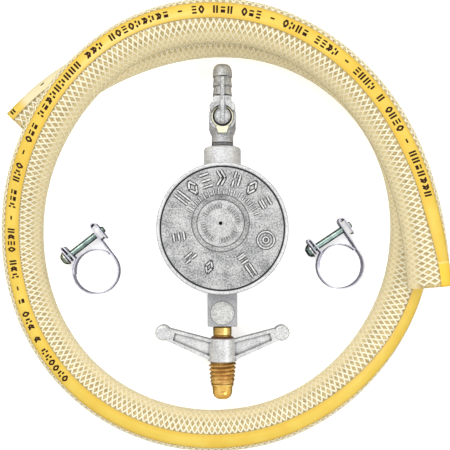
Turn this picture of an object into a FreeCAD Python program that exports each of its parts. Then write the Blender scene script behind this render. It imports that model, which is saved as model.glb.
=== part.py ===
import FreeCAD, Part
import math
import os

import Sketcher

# Gas regulator kit: a low-pressure regulator with a swivelling hose spout and a wing connector,
# a braided hose laid in a loop round it, and two screw clamps for the hose ends.
# Millimetres, +Z up. The origin is on the surface that the regulator lies on, under the centre
# of its round body; the connector points along -Y and the hose spout along +Y.

DIMENSIONS = {
    # round body, its rolled rim and its chamber
    "base_radius": 20.0, "side_radius": 25.2, "side_foot": 2.6, "rim_foot": 9.4,
    "rim_radius": 28.0, "rim_top": 23.5, "rim_start": 11.8, "rim_round": 0.75,
    "lip_radius": 26.3, "lip_under": 21.8, "seat_radius": 26.6, "ledge_height": 12.9,
    "chamber_radius": 23.2, "chamber_floor": 2.4,
    # ports
    "port_height": 9.5, "block_half": 6.4, "block_end": 42.0, "port_root": 23.5,
    "boss_radius": 8.1, "boss_end": 36.0, "boss_round": 1.3,
    "neck_socket": 4.75, "neck_seat": 27.0, "outlet_bore": 2.4,
    "stem_socket": 4.1, "stem_seat": 36.0, "nozzle_socket": 2.6, "nozzle_seat": 28.6,
    "plug_radius": 5.1, "plug_sink": 1.5, "plug_stand": 0.35,
    # cover and the parts in its centre
    "cover_radius": 26.5, "cover_face": 25.95, "cover_top": 23.4, "cover_step": 21.65,
    "cover_under": 21.0, "skirt_inner": 24.4, "skirt_foot": 13.7,
    "cap_east": 0.75, "cap_north": 2.2, "cap_radius": 10.15, "cap_mouth": 11.75,
    "cap_top": 22.6, "cap_foot": 21.3, "vent_radius": 0.75,
    "seat_disc": 8.5, "seat_under": 19.9, "seat_top": 20.7,
    # diaphragm stack
    "diaphragm_under": 12.95, "diaphragm_over": 13.6, "roll_height": 1.5, "roll_inner": 16.0,
    "roll_outer": 21.0, "stem_radius": 1.6, "stem_hole": 1.65, "plate_radius": 14.0,
    "plate_top": 14.4, "backing_radius": 8.0, "backing_under": 12.2, "stem_foot": 3.3,
    "stem_head": 2.7, "stem_top": 15.2,
    "spring_radius": 6.5, "wire_radius": 0.4, "spring_turns": 3.5,
    # lever and inlet valve
    "pivot_back": 14.5, "pivot_height": 4.6, "pin_radius": 0.8, "pin_hole": 0.84,
    "pin_half": 3.6, "lever_half": 0.6, "lever_nose": 0.6, "lever_hub": 1.5,
    "slot_play": 0.07, "holder_radius": 2.0, "holder_back": 20.0, "holder_front": 12.6,
    "pad_radius": 1.6, "pad_proud": 0.2, "pad_deep": 0.8, "nozzle_tip": 20.62,
    # tap: neck, eye and hose spout
    "neck_radius": 4.7, "neck_start": 27.2, "ring_start": 36.3, "ring_end": 38.0,
    "ring_depth": 0.7, "eye_radius": 6.0, "eye_north": 48.6, "eye_half": 5.6,
    "eye_bore": 4.0, "spindle_radius": 3.95, "spindle_foot": 2.2, "hub_radius": 3.4,
    "hub_top": 18.4, "spindle_top": 14.7, "arm_under": 16.2, "arm_top": 17.4,
    "arm_half": 1.7, "spout_height": 11.2, "tube_radius": 3.75, "crest_radius": 4.2,
    "tip_radius": 2.7, "spout_bore": 2.2, "spout_root": 54.9, "spout_end": 71.8,
    "rib_half": 0.9, "collar_radius": 4.2, "retainer_radius": 4.7,
    "retainer_top": 15.9, "tab_half": 1.7, "tab_reach": 6.9, "clip_radius": 4.9,
    "clip_under": 2.75, "clip_over": 3.25, "clip_groove": 3.4,
    # wing connector
    "stem_collar": 4.05, "collar_end": 46.9, "shank_radius": 3.1, "shank_end": 70.0,
    "gas_bore": 1.5, "washer_radius": 4.9, "washer_end": 47.3, "hub_start": 47.5,
    "hub_end": 57.6, "hub_small": 5.65, "hub_large": 6.3, "sleeve_radius": 4.6,
    "sleeve_start": 48.2, "sleeve_bore": 3.15, "thread_start": 57.8, "thread_end": 67.1,
    "thread_crest": 6.2, "thread_root": 4.95, "thread_pitch": 1.75,
    "thread_taper": 0.18,
    "nose_start": 67.4, "nose_step": 68.7, "nose_large": 4.9, "nose_radius": 4.36,
    "nose_end": 74.1, "nose_flat": 3.95, "flat_end": 70.6,
    "ball_reach": 25.9, "ball_north": 45.0, "ball_radius": 3.5, "ball_half": 3.0,
    "arm_thick": 2.6,
    "pocket_deep": 1.5, "disc_round": 1.1, "filter_radius": 2.0, "filter_long": 6.0,
    # hose clamps
    "band_radius": 10.2, "band_thick": 0.6, "band_width": 7.0, "ear_top": 17.4,
    "screw_out": 12.7, "screw_radius": 1.5, "screw_hole": 1.7,
    "nut_bore": 1.55, "nut_side": 6.4, "nut_thick": 1.9, "head_radius": 2.9,
    "clamp_washer_radius": 3.2,
    # hose
    "hose_radius": 9.0, "hose_bore": 4.2,
}

# Route of the hose's centreline, from the end that lies on the surface to the end on top:
# nearly one and a half turns, the second lying on the first.
HOSE_ROUTE = [
    (-87.8, 44.8, 9.0), (-81.3, 51.7, 9.0), (-72.3, 59.5, 9.0), (-61.3, 66.8, 9.0),
    (-47.6, 74.4, 9.0), (-29.2, 81.4, 9.0), (-7.6, 85.5, 9.0), (15.7, 84.6, 9.0),
    (37.8, 77.4, 9.0), (57.0, 64.2, 9.0), (71.7, 46.3, 9.0), (80.6, 25.0, 9.0),
    (83.6, 2.2, 9.0), (81.2, -20.7, 9.0), (73.3, -41.1, 9.0), (60.6, -59.4, 9.0),
    (43.6, -74.6, 9.0), (22.8, -84.8, 9.0), (-0.4, -88.9, 9.0), (-24.3, -86.6, 9.0),
    (-46.9, -77.6, 9.0), (-65.8, -62.5, 9.0), (-79.4, -42.4, 9.0), (-86.4, -21.2, 9.0),
    (-88.0, -1.0, 10.3), (-84.8, 18.6, 15.3), (-77.3, 36.5, 21.2), (-66.0, 53.8, 25.8),
    (-51.2, 69.3, 27.2), (-32.7, 80.9, 27.2), (-10.8, 86.5, 27.2), (11.4, 85.5, 27.2),
    (32.0, 78.0, 27.2), (49.6, 65.6, 27.2), (63.6, 50.1, 27.2), (73.9, 32.2, 27.2),
    (80.5, 13.1, 27.2), (84.4, -6.0, 27.2), (86.0, -24.6, 27.2),
]

# Each clamp: side, place of its ring's centre, and the turn of its screw from +X, in degrees.
CLAMPS = [("left", -56.4, -18.0, 38.0), ("right", 52.5, -15.7, 33.7)]

# Wing arm beyond the hub: corners (X, Y) of its upper and lower edges on the +X side.
ARM_OUTLINE = [(5.0, -47.9), (22.9, -43.1), (24.6, -48.3), (5.0, -57.2)]
POCKET_OUTLINE = [(4.6, -49.4), (20.7, -45.2), (21.6, -48.2), (4.6, -55.5)]

# Half of the spout's shoulder, from the tap's axis outward.
SHOULDER_OUTLINE = [(0.0, 50.4), (4.6, 50.7), (5.5, 51.4), (5.55, 53.2), (4.7, 54.3),
                    (3.7, 54.8), (3.7, 57.2), (0.0, 57.2)]

AXES = {"X": FreeCAD.Vector(1, 0, 0), "Y": FreeCAD.Vector(0, 1, 0), "Z": FreeCAD.Vector(0, 0, 1)}

doc = FreeCAD.newDocument("regulator_kit")
sheet = doc.addObject("Spreadsheet::Sheet", "dims")
for row, (alias, size) in enumerate(DIMENSIONS.items(), start=1):
    sheet.set(f"A{row}", alias)
    sheet.set(f"B{row}", str(size))
    sheet.setAlias(f"B{row}", alias)
doc.recompute()
nodes = {}


def amount(formula):
    """The value of a sum of sheet names and numbers, such as "rim_radius - 0.3"."""
    if isinstance(formula, (int, float)):
        return float(formula)
    total, sign = 0.0, 1.0
    for word in formula.split():
        if word in ("+", "-"):
            sign = 1.0 if word == "+" else -1.0
        else:
            total += sign * (float(sheet.get(word)) if word in DIMENSIONS else float(word))
            sign = 1.0
    return total


def bind(target, path, formula):
    """Drives a property from the sheet, or sets nothing when the formula is a plain number."""
    if isinstance(formula, str):
        words = [f"dims.{word}" if word in DIMENSIONS else word for word in formula.split()]
        target.setExpression(path, " ".join(words))


def keep(item, name):
    """Makes a finished object a sub-part, under its node's name."""
    item.Label = name
    nodes[name] = item
    return item


def place(item, east=0.0, north=0.0, up=0.0, turn_axis="Z", turn=0.0):
    rotation = FreeCAD.Rotation(AXES[turn_axis], turn)
    position = FreeCAD.Vector(amount(east), amount(north), amount(up))
    item.Placement = FreeCAD.Placement(position, rotation)
    for letter, formula in zip("xyz", (east, north, up)):
        bind(item, f"Placement.Base.{letter}", formula)
    return item


def outline(body, role, corners):
    """A closed outline on one of the body's origin planes, with each corner tied to the sheet."""
    sketch = body.newObject("Sketcher::SketchObject", f"{body.Name}_outline")
    plane = next(item for item in body.Origin.OriginFeatures if item.Role == role)
    sketch.AttachmentSupport = [(plane, "")]
    sketch.MapMode = "FlatFace"
    spots = [FreeCAD.Vector(amount(across), amount(along), 0) for across, along in corners]
    count = len(spots)
    for number in range(count):
        sketch.addGeometry(Part.LineSegment(spots[number], spots[(number + 1) % count]))
    for number in range(count):
        sketch.addConstraint(Sketcher.Constraint("Coincident", number, 2, (number + 1) % count, 1))
    for number, corner in enumerate(corners):
        for kind, axis, formula in zip(("DistanceX", "DistanceY"), (-2, -1), corner):
            if amount(formula) == 0.0:
                sketch.addConstraint(Sketcher.Constraint("PointOnObject", number, 1, axis))
                continue
            rule = Sketcher.Constraint(kind, -1, 1, number, 1, amount(formula))
            index = sketch.addConstraint(rule)
            bind(sketch, f"Constraints[{index}]", formula)
    return sketch


def turned(name, corners, axis="Z"):
    """A body turned about Z (corners are radius, height) or about Y (radius, distance)."""
    body = doc.addObject("PartDesign::Body", name)
    sketch = outline(body, "XZ_Plane" if axis == "Z" else "XY_Plane", corners)
    spin = body.newObject("PartDesign::Revolution", f"{name}_spin")
    spin.Profile = sketch
    spin.ReferenceAxis = (sketch, ["V_Axis"])
    spin.Angle = 360.0
    sketch.Visibility = False
    doc.recompute()
    return body


def padded(name, corners, height, role="XY_Plane"):
    """A body raised from an outline."""
    body = doc.addObject("PartDesign::Body", name)
    sketch = outline(body, role, corners)
    pad = body.newObject("PartDesign::Pad", f"{name}_pad")
    pad.Profile = sketch
    pad.Length = amount(height)
    bind(pad, "Length", height)
    doc.recompute()
    return body


def round_circles(body, picks, radius):
    """Rounds the body's circular edges that match (edge radius, height or distance)."""
    base = body.Tip
    names = []
    for number, edge in enumerate(base.Shape.Edges, start=1):
        if not isinstance(edge.Curve, Part.Circle):
            continue
        centre = edge.Curve.Center
        for edge_radius, level in picks:
            near = min(abs(centre.z - level), abs(centre.y - level)) < 0.01
            if near and abs(edge.Curve.Radius - edge_radius) < 0.01:
                names.append(f"Edge{number}")
    fillet = body.newObject("PartDesign::Fillet", f"{body.Name}_round")
    fillet.Base = (base, names)
    fillet.Radius = amount(radius)
    bind(fillet, "Radius", radius)
    doc.recompute()
    return body


def cylinder(name, radius, length, east=0.0, north=0.0, up=0.0, along="Z"):
    """A round bar that starts at the given place and runs towards +Z, +Y, -Y or +X."""
    item = doc.addObject("Part::Cylinder", name)
    item.Radius, item.Height = amount(radius), amount(length)
    bind(item, "Radius", radius)
    bind(item, "Height", length)
    axis, turn = {"Z": ("Z", 0), "Y": ("X", -90), "-Y": ("X", 90), "X": ("Y", 90)}[along]
    return place(item, east, north, up, axis, turn)


def box(name, low, high):
    """A block between two corners, each given as (X, Y, Z)."""
    item = doc.addObject("Part::Box", name)
    for prop, start, end in zip(("Length", "Width", "Height"), low, high):
        size = amount(end) - amount(start)
        setattr(item, prop, size)
        if isinstance(start, str) or isinstance(end, str):
            start_text = start if isinstance(start, str) else str(start)
            end_text = end if isinstance(end, str) else str(end)
            words = []
            for text in (end_text, start_text):
                words.append(" ".join(f"dims.{w}" if w in DIMENSIONS else w for w in text.split()))
            item.setExpression(prop, f"({words[0]}) - ({words[1]})")
    return place(item, *low)


def joined(name, pieces):
    item = doc.addObject("Part::MultiFuse", name)
    item.Shapes = pieces
    item.Refine = True
    doc.recompute()
    return item


def less(name, base, tools):
    """The base with each tool cut out of it."""
    doc.recompute()
    for number, tool in enumerate(tools, start=1):
        before = base.Shape.Volume
        cut = doc.addObject("Part::Cut", f"{name}_cut{number}")
        cut.Base, cut.Tool, cut.Refine = base, tool, True
        doc.recompute()
        if cut.Shape.isNull():
            raise RuntimeError(f"{tool.Name} can't be cut from {name}")
        if cut.Shape.Volume > before - 1e-3:
            print(f"note: {tool.Name} takes nothing from {name}")
        base = cut
    return base


def prism(points, low, high):
    """A solid raised from a closed plan of (X, Y) points."""
    corners = [FreeCAD.Vector(x, y, low) for x, y in points]
    wire = Part.makePolygon(corners + corners[:1])
    return Part.Face(wire).extrude(FreeCAD.Vector(0, 0, high - low))


def feature(name, shape, placement=None):
    """A sub-part whose shape none of the ready-made features gives."""
    item = doc.addObject("Part::Feature", name)
    item.Shape = shape
    if placement is not None:
        item.Placement = placement
    return keep(item, name)


# ---------------------------------------------------------------- regulator casing

def make_body_shell():
    pan = turned("pan", [
        (0, 0), ("base_radius", 0), ("side_radius - 0.8", "side_foot"),
        ("side_radius", "rim_foot"), ("rim_radius", "rim_start"), ("rim_radius", "rim_top"),
        ("lip_radius", "rim_top"), ("lip_radius", "lip_under"), ("seat_radius", "lip_under"),
        ("seat_radius", "ledge_height"), ("chamber_radius", "ledge_height"),
        ("chamber_radius", "chamber_floor"), (0, "chamber_floor")])
    round_circles(pan, [(amount("rim_radius"), amount("rim_top")),
                        (amount("lip_radius"), amount("rim_top"))], "rim_round")
    block = box("block", ("- block_half", "- block_end", "port_height - block_half"),
                ("block_half", "- port_root", "port_height + block_half"))
    edges = doc.addObject("Part::Fillet", "block_edges")
    edges.Base = block
    edges.Edges = [(number, 0.5, 0.5) for number in range(1, 13)]
    boss = turned("boss", [(0, "port_root"), ("boss_radius", "port_root"),
                           ("boss_radius", "boss_end"), (0, "boss_end")], "Y")
    round_circles(boss, [(amount("boss_radius"), amount("boss_end"))], "boss_round")
    place(boss, up="port_height")
    saddle = box("saddle", (-3.1, -19.2, "chamber_floor - 0.5"), (3.1, -17.4, "port_height"))
    lugs = [box(f"lug_{side}", (low, "- pivot_back - 1.7", "chamber_floor - 0.5"),
                (high, "- pivot_back + 1.7", "pivot_height + 1.7"))
            for side, low, high in (("east", 2.2, "pin_half"), ("west", "- pin_half", -2.2))]
    casting = joined("casting", [pan, edges, boss])
    hollow = turned("hollow", [
        (0, "chamber_floor"), ("chamber_radius", "chamber_floor"),
        ("chamber_radius", "ledge_height"), ("seat_radius", "ledge_height"),
        ("seat_radius", "lip_under"), ("lip_radius", "lip_under"), ("lip_radius", 30), (0, 30)])
    bored = less("body", casting, [
        hollow,
        cylinder("neck_bore", "neck_socket", 12, 0, "neck_seat", "port_height", "Y"),
        cylinder("outlet_way", "outlet_bore", 12, 0, 20, "port_height", "Y"),
        cylinder("stem_bore", "stem_socket", 8, 0, "- stem_seat", "port_height", "-Y"),
        cylinder("inlet_way", "nozzle_socket", 18, 0, -20, "port_height", "-Y"),
        cylinder("plug_bore", "plug_radius", 4, 0, -36.1,
                 "port_height + block_half - plug_sink")])
    inner = joined("body_inner", [bored, saddle] + lugs)
    keep(less("body_shell", inner, [
        cylinder("saddle_groove", "holder_radius + 0.06", 4, 0, -20, "port_height", "Y"),
        cylinder("pivot_bore", "pin_radius + 0.01", 10, -5, "- pivot_back", "pivot_height", "X"),
    ]), "body_shell")


def make_cover():
    cover = turned("cover_blank", [
        (0, "cover_under"), ("skirt_inner", "cover_under"), ("skirt_inner", "skirt_foot"),
        ("cover_radius", "skirt_foot"), ("cover_radius", "cover_step"),
        ("cover_face", "cover_step"), ("cover_face", "cover_top"), (0, "cover_top")])
    round_circles(cover, [(amount("cover_face"), amount("cover_top"))], 0.4)
    mouth = doc.addObject("Part::Cone", "cap_mouth_cut")
    mouth.Radius1, mouth.Radius2, mouth.Height = amount("cap_radius"), amount("cap_mouth"), 0.9
    bind(mouth, "Radius1", "cap_radius")
    bind(mouth, "Radius2", "cap_mouth")
    place(mouth, "- cap_east", "cap_north", "cover_top - 0.9")
    keep(less("cover", cover, [
        mouth,
        cylinder("cap_hole", "cap_radius", 6, "- cap_east", "cap_north", "cover_under - 1"),
    ]), "cover")
    cap = turned("cap", [(0, "cap_foot"), ("cap_radius - 0.02", "cap_foot"),
                         ("cap_radius - 0.02", "cap_top"), (0, "cap_top")])
    place(cap, "- cap_east", "cap_north")
    round_circles(cap, [(amount("cap_radius - 0.02"), amount("cap_top"))], 0.25)
    keep(less("centre_cap", cap, [
        cylinder("vent", "vent_radius", 6, "- cap_east", "cap_north", "cap_foot - 1"),
    ]), "centre_cap")
    keep(turned("spring_seat", [
        (2, "seat_under"), ("seat_disc", "seat_under"), ("seat_disc", "seat_top"),
        (2, "seat_top")]), "spring_seat")


def make_block_plug():
    plug = turned("block_plug", [
        (0, "port_height + block_half - plug_sink"),
        ("plug_radius - 0.02", "port_height + block_half - plug_sink"),
        ("plug_radius - 0.02", "port_height + block_half + plug_stand"),
        (0, "port_height + block_half + plug_stand")])
    round_circles(plug, [(amount("plug_radius - 0.02"),
                          amount("port_height + block_half + plug_stand"))], 0.2)
    keep(place(plug, north=-36.1), "block_plug")


# ---------------------------------------------------------------- diaphragm and inlet valve

def make_diaphragm_stack():
    rise = "+ roll_height"
    keep(turned("diaphragm", [
        ("stem_hole", "diaphragm_under"), ("roll_inner", "diaphragm_under"),
        ("roll_inner + 1.4", f"diaphragm_under {rise}"),
        ("roll_outer - 1.4", f"diaphragm_under {rise}"), ("roll_outer", "diaphragm_under"),
        ("cover_radius - 0.1", "diaphragm_under"), ("cover_radius - 0.1", "diaphragm_over"),
        ("roll_outer + 0.4", "diaphragm_over"), ("roll_outer - 1.0", f"diaphragm_over {rise}"),
        ("roll_inner + 1.0", f"diaphragm_over {rise}"), ("roll_inner - 0.4", "diaphragm_over"),
        ("stem_hole", "diaphragm_over")]), "diaphragm")
    keep(turned("diaphragm_plate", [
        ("stem_hole", "diaphragm_over + 0.02"), ("plate_radius", "diaphragm_over + 0.02"),
        ("plate_radius", "plate_top"), ("stem_hole", "plate_top")]), "diaphragm_plate")
    keep(turned("diaphragm_backing", [
        ("stem_hole", "backing_under"), ("backing_radius", "backing_under"),
        ("backing_radius", "diaphragm_under - 0.02"),
        ("stem_hole", "diaphragm_under - 0.02")]), "diaphragm_backing")
    stem = turned("stem", [
        (0, "stem_foot"), ("stem_radius", "stem_foot"), ("stem_radius", "backing_under - 0.8"),
        ("stem_head", "backing_under - 0.8"), ("stem_head", "backing_under - 0.02"),
        ("stem_radius", "backing_under - 0.02"), ("stem_radius", "plate_top + 0.02"),
        ("stem_head", "plate_top + 0.02"), ("stem_head", "stem_top"), (0, "stem_top")])
    slot = box("stem_slot", ("- lever_half - 0.15", -3, "pivot_height - lever_nose - slot_play"),
               ("lever_half + 0.15", 3, "pivot_height + lever_nose + slot_play"))
    keep(less("diaphragm_stem", stem, [slot]), "diaphragm_stem")


def make_main_spring():
    low = amount("plate_top") + amount("wire_radius") + 0.03
    high = amount("seat_under") - amount("wire_radius") - 0.03
    radius, wire, sides = amount("spring_radius"), amount("wire_radius"), 12
    helix = Part.makeHelix((high - low) / amount("spring_turns"), high - low, radius)
    corners = [FreeCAD.Vector(radius + wire * math.cos(2 * math.pi * number / sides), 0,
                              wire * math.sin(2 * math.pi * number / sides))
               for number in range(sides)]
    section = Part.makePolygon(corners + corners[:1])
    coil = Part.Wire(helix.Edges).makePipeShell([section], True, True)
    feature("main_spring", coil, FreeCAD.Placement(FreeCAD.Vector(0, 0, low),
                                                   FreeCAD.Rotation()))


def make_lever():
    back, height = amount("pivot_back"), amount("pivot_height")
    half, nose = amount("lever_half"), amount("lever_nose")
    port = amount("port_height")
    tail = box("lever_long", ("- lever_half", "- pivot_back", "pivot_height - 0.45"),
               ("lever_half", 0, "pivot_height + 0.45"))
    rise = box("lever_short", ("- lever_half", "- pivot_back - 0.45", "pivot_height"),
               ("lever_half", "- pivot_back + 0.45", "port_height"))
    hub = cylinder("lever_boss", "lever_hub", 4, -2, "- pivot_back", "pivot_height", "X")
    noses = [cylinder(f"lever_nose_{label}", "lever_nose", 2 * half, -half, north, up, "X")
             for label, north, up in (("stem", 0.0, height), ("pad", -back, port))]
    lever = joined("lever_blank", [tail, rise, hub] + noses)
    keep(less("valve_lever", lever, [
        cylinder("lever_bore", "pin_hole", 10, -5, "- pivot_back", "pivot_height", "X"),
    ]), "valve_lever")
    keep(cylinder("lever_pin", "pin_radius", "pin_half + pin_half", "- pin_half",
                  "- pivot_back", "pivot_height", "X"), "lever_pin")


def make_inlet_valve():
    keep(place(turned("valve_nozzle", [
        (0.5, "- nozzle_seat + 0.1"), ("nozzle_socket - 0.02", "- nozzle_seat + 0.1"),
        ("nozzle_socket - 0.02", -22.9), (3.4, -22.9), (3.4, -21.9), (1.2, -21.9),
        (0.9, "- nozzle_tip"), (0.5, "- nozzle_tip")], "Y"), up="port_height"), "valve_nozzle")
    holder = place(turned("holder", [
        (0, "- holder_back + pad_deep"), ("pad_radius", "- holder_back + pad_deep"),
        ("pad_radius", "- holder_back"), ("holder_radius", "- holder_back"),
        ("holder_radius", "- holder_front"), (0, "- holder_front")], "Y"), up="port_height")
    slot = box("holder_slot", (-1.0, "- pivot_back - lever_nose - slot_play", 3),
               (1.0, "- pivot_back + lever_nose + slot_play", "port_height + 0.9"))
    keep(less("pad_holder", holder, [slot]), "pad_holder")
    keep(place(turned("valve_pad", [
        (0, "- holder_back - pad_proud"), ("pad_radius - 0.03", "- holder_back - pad_proud"),
        ("pad_radius - 0.03", "- holder_back + pad_deep - 0.01"),
        (0, "- holder_back + pad_deep - 0.01")], "Y"), up="port_height"), "valve_pad")


# ---------------------------------------------------------------- tap and hose spout

def make_tap_body():
    neck = place(turned("neck", [
        (0, "neck_start"), ("neck_radius", "neck_start"), ("neck_radius", "ring_start"),
        ("neck_radius - ring_depth", "ring_start"), ("neck_radius - ring_depth", "ring_end"),
        ("neck_radius", "ring_end"), ("neck_radius", 41.2), (5.4, 42.3),
        (5.85, 44.0), (5.85, "eye_north"), (0, "eye_north")], "Y"), up="port_height")
    eye = cylinder("eye", "eye_radius", "eye_half + eye_half", 0, "eye_north",
                   "port_height - eye_half")
    solid = joined("tap_blank", [neck, eye])
    top = box("tap_top_trim", (-8, 40, "port_height + eye_half"), (8, 56, 20))
    bottom = box("tap_bottom_trim", (-8, 40, 0), (8, 56, "port_height - eye_half"))
    tap = less("tap", solid, [
        top, bottom,
        cylinder("eye_hole", "eye_bore", 20, 0, "eye_north", 0),
        cylinder("neck_way", "outlet_bore", 24, 0, 25, "port_height", "Y")])
    keep(tap, "tap_body")
    ring = doc.addObject("Part::Torus", "outlet_o_ring")
    ring.Radius1, ring.Radius2 = 4.0, 0.78
    ring.setExpression("Radius1", "dims.neck_radius - 0.68")
    ring.setExpression("Radius2", "(dims.ring_end - dims.ring_start) / 2 - 0.07")
    place(ring, 0, 0, "port_height", "X", 90)
    ring.setExpression("Placement.Base.y", "(dims.ring_start + dims.ring_end) / 2")
    core = cylinder("ring_core", "neck_radius - ring_depth + 0.01", 6, 0, 34, "port_height", "Y")
    keep(less("outlet_o_ring", ring, [core]), "outlet_o_ring")


def make_hose_spout():
    spindle = place(turned("spindle", [
        (0, "spindle_foot"), ("spindle_radius", "spindle_foot"),
        ("spindle_radius", "clip_under - 0.05"), ("clip_groove", "clip_under - 0.05"),
        ("clip_groove", "clip_over + 0.05"), ("spindle_radius", "clip_over + 0.05"),
        ("spindle_radius", 5.6), ("spindle_radius - 0.8", 5.6), ("spindle_radius - 0.8", 6.6),
        ("spindle_radius", 6.6), ("spindle_radius", 12.4), ("spindle_radius - 0.8", 12.4),
        ("spindle_radius - 0.8", 13.4), ("spindle_radius", 13.4),
        ("spindle_radius", "spindle_top"), ("hub_radius", "spindle_top"),
        ("hub_radius", "hub_top - 0.9"), (2.5, "hub_top - 0.2"), (0, "hub_top")]),
        north="eye_north")
    half = SHOULDER_OUTLINE
    plan = half + [(-x, y) for x, y in reversed(half) if x > 0]
    plate = place(padded("shoulder", plan, 1.4), up="arm_under")
    relief = cylinder("shoulder_relief", "retainer_radius + 0.1", 6, 0, "eye_north", 14)
    shoulder = less("shoulder_shaped", plate, [relief])
    arm = box("spout_arm", ("- arm_half", "eye_north", "arm_under"),
              ("arm_half", 56, "arm_top"))
    root = place(turned("spout_root_ring", [
        (0, "spout_root"), (3.5, "spout_root"), (3.9, 55.4), (3.9, 57.4), (0, 57.4)], "Y"), up="spout_height")
    bridge = box("spout_bridge", (-3.1, "spout_root", "spout_height"), (3.1, 57.2, "arm_top"))
    crests = [58.4, 62.4, 66.5]
    teeth = [(0, 56.0), (3.6, 56.0), (3.6, crests[0] - 0.15)]
    for start, end in zip(crests, crests[1:]):
        teeth += [("crest_radius", start), ("tube_radius", end - 0.15)]
    teeth += [("crest_radius", crests[-1]), ("crest_radius", 68.0), (3.95, 70.0), (3.4, 71.2),
              ("tip_radius", "spout_end"), (0, "spout_end")]
    barb = place(turned("barb", teeth, "Y"), up="spout_height")
    rib_plan = [("eye_north - 3.1", "hub_top - 0.6"), ("eye_north - 2.6", "hub_top + 0.1"),
                ("eye_north + 2.6", "hub_top + 0.3"), (57.5, "arm_top + 0.2"),
                (65.6, "spout_height + crest_radius + 0.75"),
                (66.4, "spout_height + crest_radius - 0.3"), (66.4, "spout_height + 3"),
                (56.4, "spout_height + 3"), (56.4, "arm_under + 0.2"),
                ("eye_north - 3.1", "arm_under + 0.2")]
    rib = padded("spout_rib", rib_plan, "rib_half + rib_half", "YZ_Plane")
    place(rib, east="- rib_half")
    spout = joined("spout_blank", [spindle, shoulder, arm, root, bridge, barb, rib])
    keep(less("hose_spout", spout, [
        cylinder("spout_way", "spout_bore", 20, 0, 55.5, "spout_height", "Y"),
        cylinder("spindle_way", 1.8, 9, 0, "eye_north", 3.5),
        cylinder("spindle_port", "spout_bore - 0.2", 6, 0, "eye_north - 5", "port_height", "Y"),
    ]), "hose_spout")


def make_tap_rings():
    for name, level in (("spindle_o_ring_lower", 6.1), ("spindle_o_ring_upper", 12.9)):
        ring = turned(name, [
            ("spindle_radius - 0.78", level - 0.42), ("spindle_radius + 0.03", level - 0.42),
            ("spindle_radius + 0.03", level + 0.42), ("spindle_radius - 0.78", level + 0.42)])
        round_circles(ring, [(amount("spindle_radius + 0.03"), level - 0.42),
                             (amount("spindle_radius + 0.03"), level + 0.42)], 0.25)
        keep(place(ring, north="eye_north"), name)
    eye_top = "port_height + eye_half"
    keep(place(turned("spindle_collar", [
        ("eye_bore + 0.02", f"{eye_top} + 0.02"), ("collar_radius", f"{eye_top} + 0.02"),
        ("collar_radius", "retainer_top + 0.1"), ("eye_bore + 0.02", "retainer_top + 0.1")]),
        north="eye_north"), "spindle_collar")
    ring = place(turned("retainer_ring", [
        ("collar_radius + 0.05", f"{eye_top} + 0.02"), ("retainer_radius", f"{eye_top} + 0.02"),
        ("retainer_radius", "retainer_top - 0.25"), ("retainer_radius - 0.25", "retainer_top"),
        ("collar_radius + 0.05", "retainer_top")]), north="eye_north")
    tab = padded("retainer_tab", [
        ("- tab_half", "eye_north - tab_reach"), ("tab_half", "eye_north - tab_reach"),
        ("tab_half + 1.0", "eye_north - 4.25"), ("- tab_half - 1.0", "eye_north - 4.25")], 0.75)
    place(tab, up=f"{eye_top} + 0.02")
    gap = box("retainer_gap", (-1.9, "eye_north + 2", 14), (1.9, "eye_north + 8", 17))
    clear = cylinder("tab_clearance", "collar_radius + 0.3", 6, 0, "eye_north", 13)
    open_ring = less("retainer_open", ring, [gap])
    short_tab = less("retainer_tongue", tab, [clear])
    keep(joined("retainer", [open_ring, short_tab]), "spout_retainer")
    clip = place(turned("clip_ring", [
        ("clip_groove + 0.05", "clip_under"), ("clip_radius", "clip_under"),
        ("clip_radius", "clip_over"), ("clip_groove + 0.05", "clip_over")]), north="eye_north")
    mouth = box("clip_mouth", (-1.5, "eye_north - 7", 2), (1.5, "eye_north", 4))
    keep(less("spindle_clip", clip, [mouth]), "spindle_clip")


# ---------------------------------------------------------------- wing connector

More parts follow.
